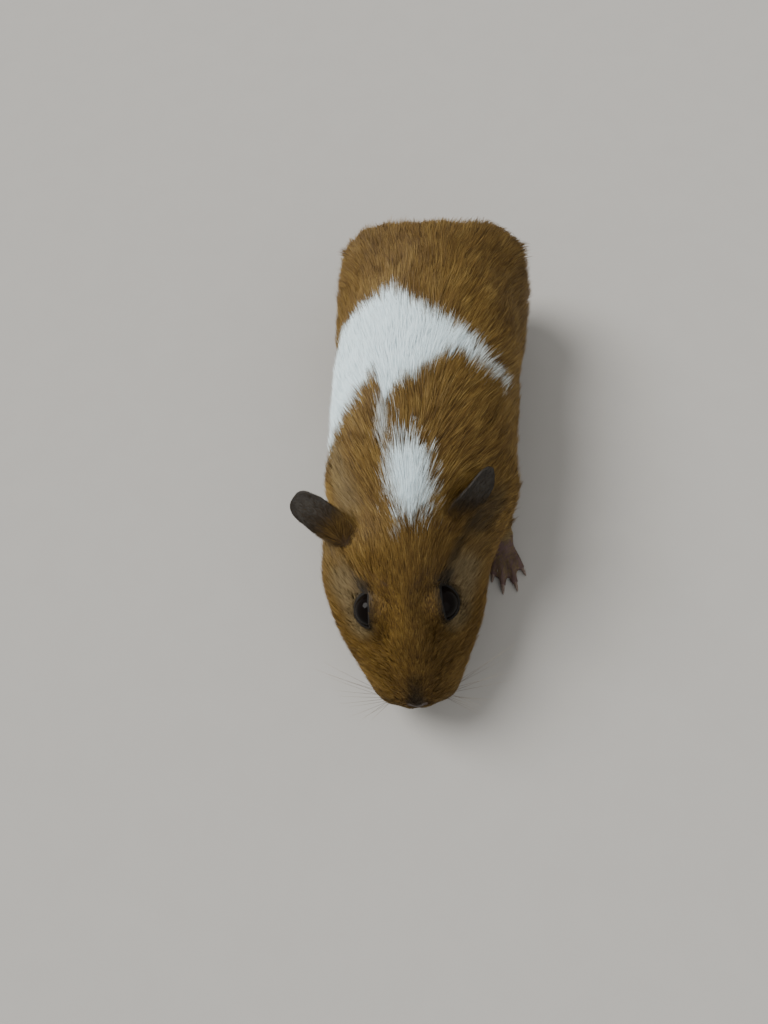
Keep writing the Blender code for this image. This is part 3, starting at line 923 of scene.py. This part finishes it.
def coat_finish():
    finish = Finish("coat_hair", Specular_IOR_Level=0.22)
    tone, along = finish.kept("tone"), finish.kept("along")
    # The tone rises towards each hair's tip: painted shade at the roots.
    return finish.paint(coat_colour(finish, tone * 0.85 + along * 0.2, along), tone * -0.1 + 0.58)


def skin_finish():
    finish = Finish("skin", Specular_IOR_Level=0.3)
    streaks = finish.noise(900, 2.0)
    coat = finish.mixed(1.0, coat_colour(finish, finish.kept("tone"), 0.35), UNDERCOAT, "MULTIPLY")
    mottle = finish.noise(420, 4.0)
    # Bare feet: their own mauve-grey skin, made darker as painted shade.
    bare = finish.mixed(mottle, (0.055, 0.031, 0.028), (0.115, 0.072, 0.066))
    nose = finish.mixed(mottle, (0.038, 0.026, 0.021), (0.075, 0.054, 0.043))
    colour = finish.mixed(finish.kept("bare_foot"), coat, bare)
    colour = finish.mixed(finish.kept("bare_nose"), colour, nose)
    # The eye rims' dark skin, and painted shade in the nostrils.
    colour = finish.mixed(finish.kept("rim"), colour, RIM_AND_NOSTRIL_SHADE)
    rough = 0.75 + finish.kept("rim") * 0.1 - finish.kept("bare_nose") * 0.25
    cells = finish.node("ShaderNodeTexVoronoi", {"feature": "F1"}, {"Vector": finish.place(), "Scale": 1400})
    return finish.paint(colour, rough, cells * 0.5 + streaks, 0.45, 0.0003)


def ear_finish():
    finish = Finish("ear_leather", Specular_IOR_Level=0.25)
    out = finish.kept("out")
    mottle = finish.noise(260, 4.0)
    fine = finish.noise(1500, 3.0)
    near = finish.mixed(mottle, (0.024, 0.012, 0.005), (0.062, 0.036, 0.019))
    far = finish.mixed(mottle, (0.018, 0.016, 0.014), (0.05, 0.044, 0.037))
    colour = finish.mixed(out, near, far)
    colour = finish.mixed(finish.kept("edge") * 0.6, colour, (0.014, 0.012, 0.011))
    veins = finish.noise(120, 5.0, 0.7)
    return finish.paint(colour, fine * 0.2 + 0.6, fine * 0.7 + mottle * 0.5 + veins * 1.2, 0.6, 0.0005)


def eye_finish():
    finish = Finish("wet_eye", Specular_IOR_Level=0.10, IOR=1.33)
    depth = finish.noise(160, 3.0)
    colour = finish.mixed(depth, (0.0016, 0.0012, 0.0011), (0.0050, 0.0032, 0.0026))
    return finish.paint(colour, depth * 0.04 + 0.07, depth, 0.03, 0.0002)


def claw_finish():
    finish = Finish("horn", Specular_IOR_Level=0.5)
    grain = finish.noise(1100, 4.0)
    colour = finish.mixed(grain, (0.055, 0.034, 0.026), (0.20, 0.14, 0.105))
    return finish.paint(colour, grain * 0.15 + 0.34, grain, 0.25, 0.0002)


def whisker_finish():
    finish = Finish("whisker", Specular_IOR_Level=0.5)
    colour = finish.mixed(finish.kept("along"), (0.05, 0.034, 0.022), (0.34, 0.29, 0.22))
    return finish.paint(colour, finish.kept("along") * 0.1 + 0.38)


# The making

draw = np.random.default_rng(SEED)
HAIR_FINISH = coat_finish()
skin_points, skin_faces, lids_start = make_skin()
coat = Coat(skin_points, skin_faces, lie_of_coat, hair_length(skin_points), coat_depth(skin_points))


def nose_pad(p):
    """Bare skin round the nostrils and along the split of the lip."""
    head = in_half_head(p)
    pad = ramp(from_line(head, (0.3, 0, 24.4), (2.9, 0.8, 25.6)), 1.9, 1.2)
    split = ramp(from_line(head, (0, 0, 23.6), (0, 1.0, 17.8)), 0.9, 0.5)
    mouth = ramp(from_line(head, (0, 0.5, 17.6), (3.2, 2.0, 15.4)), 0.8, 0.4)
    return np.maximum.reduce([pad, split, mouth])


# Painted shade in the nostrils' slits: they take the eye rims' near-black colour.
def nostrils(p):
    head = in_half_head(p)
    slit = np.minimum(from_line(head, *GROOVES[0][:2]), from_line(head, *GROOVES[1][:2]) + 0.15)
    return ramp(slit, 0.75, 0.35)


def bare_foot(p):
    return ramp(p[:, 2], ANKLE_HEIGHT + 2.5, ANKLE_HEIGHT - 1.5)


def rim_share(p):
    """The dark rim of each eye, drawn out at its corners."""
    rim = np.zeros(len(p))
    for side in SIDES:
        away, bearing, edge = eye_angles(p, side)
        near = size_of(p - EYES[side]) < RIM_REACH
        wide = 3.5 + 9.0 * np.abs(np.cos(bearing)) ** 8
        rim = np.maximum(rim, np.where(near, ramp(away - edge, wide + 4, wide), 0))
    return rim


def finish_skin():
    """The skin with its lids, and what is kept for each of its points."""
    points = skin_points
    skin = mesh_object("skin", points, skin_faces)
    tone = 0.35 + 0.3 * waves(points, 5.0, SEED + 41) * 0.5
    no_stray = np.zeros(len(points))
    for label, values in (
        ("white", white_share(points, no_stray)),
        ("pale", pale_share(points)),
        ("dark", dark_share(points)),
        ("rump", rump_share(points)),
        ("tone", np.clip(tone, 0, 1)),
        ("bare_foot", bare_foot(points)),
        ("bare_nose", nose_pad(points)),
        # The eye rims' dark skin, and painted shade in the nostrils.
        ("rim", np.maximum(rim_share(points), nostrils(points))),
    ):
        add_values(skin, label, values)
    skin.data.materials.append(skin_finish())
    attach(skin, "root")
    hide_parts(*FLESH, *FEET)
    return skin


finish_skin()

# Ears

EAR_ROOT = np.array([21.5, 59.5, 51.5])  # in the head's frame, x outwards
EAR_CURL = {"left": 4.4, "right": 2.8}  # how far the side edges bend over towards the hollow side
EAR_FUZZ = Lock(9.0, 0.11, 0.15, 1.0, 12, 2)
# By the way along the ear, from its root to its tip
FUZZ_LENGTH = ((0, 9), (0.12, 7), (0.3, 4.2), (0.6, 1.6), (1, 0.9))
FUZZ_DEPTH = ((0, 1.5), (0.15, 1.1), (0.4, 0.5), (1, 0.25))
FUZZ_SHARE = ((0, 1.0), (0.35, 1.0), (0.6, 0.45), (1, 0.3))


def ear_frame(points, root):
    """An ear's place along its length from 0 to 1, its place across from -1 to 1, and its axes."""
    length = unit(points.mean(0) - root)
    over = np.linalg.svd(points - points.mean(0), full_matrices=False)[2][2]
    over = unit(over - (over @ length) * length)
    over = over * np.sign(over @ (0, 1, 0.5))  # towards the convex side
    across = np.cross(length, over)
    along = (points - root) @ length
    aside = (points - root) @ across
    return np.clip(along / along.max(), 0, 1), aside / np.abs(aside).max(), over, across


def make_ear(side):
    """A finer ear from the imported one, with curled edges, a wavy rim and soft ridges, and its short fuzz."""
    points, faces = arrays_of(f"ear_{side}")
    plain = mesh_object(f"ear_{side}_plain", points, faces)
    rounder = plain.modifiers.new("rounder", "SUBSURF")
    rounder.levels = rounder.render_levels = 2
    points, faces = evaluated_arrays(plain)
    root = from_head(EAR_ROOT * (SIDES[side], 1, 1))
    along, aside, over, across = ear_frame(points, root)
    edge = np.clip(np.hypot(aside, np.maximum(along - 0.45, 0) / 0.55), 0, 1)
    free = ramp(along, 0.1, 0.6)
    rise = -EAR_CURL[side] * free * aside**2
    rise += 0.45 * free * np.sin(9 * along + 3 * aside + SIDES[side]) * edge**3
    rise += 0.28 * np.cos(10 * aside) * (1 - edge) * ramp(along, 0, 0.25)
    rise += 0.10 * waves(points, 5, SEED + 60)
    points = points + over * rise[:, None] - across * (1.5 * free * aside * np.abs(aside))[:, None]
    ear = mesh_object(f"ear_{side}_skin", points, faces)
    add_values(ear, "out", ramp(along, 0.2, 0.7))
    add_values(ear, "edge", ramp(edge, 0.72, 1.0))
    ear.data.materials.append(EAR_FINISH)
    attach(ear, "root")
    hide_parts(f"ear_{side}")

    def lie(p, normals):
        way = unit(p - root) + waves(p, 6, SEED + 61)[:, None] * 0.2
        return along_skin(way, normals)

    def way_along(p):
        return ear_frame(np.concatenate([points, p]), root)[0][len(points) :]

    def marks(hair_root, outer, stray):
        none = np.zeros(len(hair_root))
        dark = ramp(way_along(hair_root), 0.15, 0.5) * 0.85 + 0.15
        return {"white": none, "pale": none, "dark": dark, "rump": none + 0.6}

    length, depth = along_table(along, FUZZ_LENGTH), along_table(along, FUZZ_DEPTH)
    fur = Coat(points, faces, lie, length, depth)
    weights = along_table(way_along(fur.middles), FUZZ_SHARE)
    grow(f"fuzz_ear_{side}", fur, weights, EAR_FUZZ, (tuple(root), tuple(points.mean(0))), draw, marks)


EAR_FINISH = ear_finish()
for side in SIDES:
    make_ear(side)

# Eyes

EYE_FINISH = eye_finish()


def make_eye(side):
    """An eyeball whose cornea swells a little."""
    ball = bmesh.new()
    bmesh.ops.create_icosphere(ball, subdivisions=5, radius=1)
    points, faces = arrays_in(ball)
    ball.free()
    forward = points @ LOOKS[side]
    swell = 0.985 + 0.03 * ramp(forward, 0.55, 1.0)
    eye = mesh_object(f"eye_{side}_ball", EYES[side] + points * swell[:, None] * EYE_RADIUS, faces)
    eye.data.materials.append(EYE_FINISH)
    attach(eye, "root")
    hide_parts(f"eye_{side}")


for side in SIDES:
    make_eye(side)

# Claws keep the imported shapes

CLAW_FINISH = claw_finish()
for node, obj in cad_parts.items():
    if node.startswith("claw"):
        obj.data.materials.clear()
        obj.data.materials.append(CLAW_FINISH)

# Whiskers

WHISKER_SIDES = 4
WHISKER_STEPS = 9
WHISKER_RADIUS = 0.05
WHISKER_TIP = 0.015
WHISKER_ROWS = 3
WHISKERS_IN_ROW = 4
WHISKER_SINK = 0.3  # how deep a whisker starts in the skin


def whisker(root, way, length, droop):
    """Points and faces of one tapering whisker."""
    t = np.linspace(0, 1, WHISKER_STEPS)[:, None]
    line = root + way * t * length + np.array([0, 0.25, -1.0]) * droop * t**2
    run = unit(np.gradient(line, axis=0))
    a = unit(np.cross(run, (0, 0, 1)))
    b = np.cross(run, a)
    turn = np.arange(WHISKER_SIDES) * 2 * math.pi / WHISKER_SIDES
    radius = WHISKER_RADIUS * (1 - t) ** 0.7 + WHISKER_TIP
    ring = np.cos(turn)[None, :, None] * a[:, None] + np.sin(turn)[None, :, None] * b[:, None]
    points = (line[:, None] + ring * radius[:, None]).reshape(-1, 3)
    return points, band_faces(WHISKER_STEPS, WHISKER_SIDES)[:, ::-1]


def make_whiskers(tree):
    """Three rows on each side of the muzzle."""
    pieces = []
    for sign, row, k in product(SIDES.values(), range(WHISKER_ROWS), range(WHISKERS_IN_ROW)):
        spot = np.array([sign * 11, 4.0 + 2.3 * k + 0.6 * row, 16.0 + 2.2 * row])
        way = np.array([sign * (0.62 + 0.09 * k), -0.42 + 0.26 * k, 0.20 + 0.14 * row - 0.05 * k])
        foot, normal, _, _ = tree.find_nearest(Vector(from_head(spot)))
        way = unit(way + draw.normal(0, 0.09, 3)) @ TURN.T
        root = np.array(foot) - np.array(normal) * WHISKER_SINK
        pieces.append(whisker(root, way, (15 + 4.2 * k) * draw.uniform(0.8, 1.15), 2.5 + k))
    made = mesh_object("whiskers", *joined(pieces))
    along = np.repeat(np.linspace(0, 1, WHISKER_STEPS), WHISKER_SIDES)
    add_values(made, "along", np.tile(along, len(pieces)))
    made.data.materials.append(whisker_finish())
    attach(made, "root")


make_whiskers(BVHTree.FromPolygons(skin_points.tolist(), skin_faces.tolist()))

# The coat, region by region

SPINE = ((-2, -62, 42), (-2, 70, 44))
FACE_LINE = (tuple(from_head((0, 18, 26))), tuple(from_head((0, 60, 38))))
FACE_END = 30  # how far back from the nose the muzzle's piece goes
NECK, SHOULDER, SADDLE, RUMP = -42, -14, 18, 52  # where the pieces of the body start, along the neck's slant
FACING_DOWN = -0.45
FOOT_HAIR_START = 2.2
LID_HAIR = (3, 25)  # degrees beyond the slit between which the lids bear hair
HAIR_FROM_SLIT = 17  # degrees beyond the slit from which the skin round the eye does
BODY_LOCK = Lock(8.4, 0.25, 0.55, 1.9, 7)
RUMP_LOCK = Lock(7.6, 0.27, 0.58, 2.1, 9, lift=1.4)

middles = coat.middles
down = coat.facing[:, 2] < FACING_DOWN
low = middles[:, 2] < ANKLE_HEIGHT
left = middles[:, 0] > TRUNK_AXIS[0]
neck_y = middles[:, 1] - 0.45 * (middles[:, 2] - 40)  # measured along the slant of the neck
in_eye = beyond_slit(middles)
of_lids = np.arange(len(skin_faces)) >= lids_start
on_lids = (in_eye > LID_HAIR[0]) & (in_eye < LID_HAIR[1])
grown = ~low & np.where(of_lids, on_lids, in_eye > HAIR_FROM_SLIT)
behind_face = in_head(middles)[:, 1] >= FACE_END
body = grown & behind_face


def between(start, end):
    return (neck_y >= start) & (neck_y < end)


REGIONS = {
    "coat_muzzle": (grown & ~behind_face, Lock(14.0, 0.17, 0.28, 0.9, 9, 2, 1.9), FACE_LINE),
    "coat_brow_and_cheeks": (body & (neck_y < NECK), Lock(10.0, 0.19, 0.38, 1.2, 8, 2, 1.5), FACE_LINE),
    "coat_neck": (body & between(NECK, SHOULDER) & ~down, Lock(8.5, 0.23, 0.5, 1.6, 7), SPINE),
}
for side, of_side in (("left", left), ("right", ~left)):
    here = body & ~down & of_side
    REGIONS[f"coat_shoulder_{side}"] = (here & between(SHOULDER, SADDLE), BODY_LOCK, SPINE)
    REGIONS[f"coat_saddle_{side}"] = (here & between(SADDLE, RUMP), BODY_LOCK, SPINE)
    REGIONS[f"coat_rump_{side}"] = (here & (neck_y >= RUMP), RUMP_LOCK, SPINE)
REGIONS["coat_belly"] = (grown & down & (neck_y >= NECK), Lock(2.0, 0.46, 0.5, 2.6, 12), SPINE)
REGIONS["coat_feet"] = (low & (middles[:, 2] > FOOT_HAIR_START), Lock(5.0, 0.15, 0.2, 1.0, 10, 2), SPINE)

hairy = 1 - np.clip(nose_pad(middles) * 1.2, 0, 1)
for name, (chosen, lock, line) in REGIONS.items():
    grow(name, coat, chosen * hairy, lock, line, draw)


# Camera, lights and floor

CAMERA_PLACE = np.array([26.6, -140.65, 329.4])
CAMERA_DOWN = 68.0
CAMERA_HEADING = 21.0
CAMERA_TILT = 18.0
CAMERA_LENS = 27.04
SENSOR_WIDTH = 36


def aim_camera():
    steep, tilt = math.radians(CAMERA_DOWN), math.radians(CAMERA_TILT)
    forward = Vector((0, math.cos(steep), -math.sin(steep)))
    straight_up = Vector((0, math.sin(steep), math.cos(steep)))
    across = forward.cross(straight_up)
    up = straight_up * math.cos(tilt) + across * math.sin(tilt)
    turn = Matrix.Rotation(math.radians(CAMERA_HEADING), 3, "Z")
    forward, up = turn @ forward, turn @ up
    right = forward.cross(up)
    camera = bpy.data.objects.new("camera", bpy.data.cameras.new("camera"))
    axes = Matrix((right, up, -forward)).transposed().to_4x4()
    camera.matrix_world = Matrix.Translation(Vector((CAMERA_PLACE + SHIFT) * MM)) @ axes
    camera.data.sensor_width = SENSOR_WIDTH
    camera.data.lens = CAMERA_LENS
    camera.data.clip_start = 0.01
    bpy.context.scene.collection.objects.link(camera)
    bpy.context.scene.camera = camera


def soft_light(name, towards_light, strength, spread, colour):
    data = bpy.data.lights.new(name, "SUN")
    data.energy = strength
    data.angle = math.radians(spread)
    data.color = colour
    lamp = bpy.data.objects.new(name, data)
    lamp.rotation_mode = "QUATERNION"
    lamp.rotation_quaternion = Vector(towards_light).to_track_quat("Z", "Y")
    bpy.context.scene.collection.objects.link(lamp)


FLOOR_HALF = 30e3
FLOOR_DROP = 0.0001  # metres, so that the soles don't lie in the floor
STUDIO_COLOUR = (1.0, 0.988, 0.965, 1)
STUDIO_STRENGTH = 0.62


def set_studio():
    corners = np.array([(-1, -1, 0), (1, -1, 0), (1, 1, 0), (-1, 1, 0)]) * FLOOR_HALF - SHIFT
    floor = mesh_object("studio_floor", corners, np.array([(0, 1, 2, 3)]), False)
    floor.location.z = -FLOOR_DROP
    paper = Finish("studio_paper", Specular_IOR_Level=0.0)
    grain = paper.noise(60, 2.0)
    pale = paper.mixed(grain, (0.372, 0.362, 0.345), (0.390, 0.380, 0.363))
    floor.data.materials.append(paper.paint(pale, grain * 0.1 + 0.8))
    world = bpy.data.worlds.new("studio")
    world.use_nodes = True
    background = world.node_tree.nodes["Background"]
    background.inputs["Color"].default_value = STUDIO_COLOUR
    background.inputs["Strength"].default_value = STUDIO_STRENGTH
    bpy.context.scene.world = world
    soft_light("key", (-0.66, 0.30, 0.80), 4.2, 34, (1.0, 0.985, 0.95))
    soft_light("fill", (0.5, -0.55, 0.6), 0.5, 60, (1.0, 0.98, 0.94))


aim_camera()
set_studio()

bpy.context.view_layer.update()
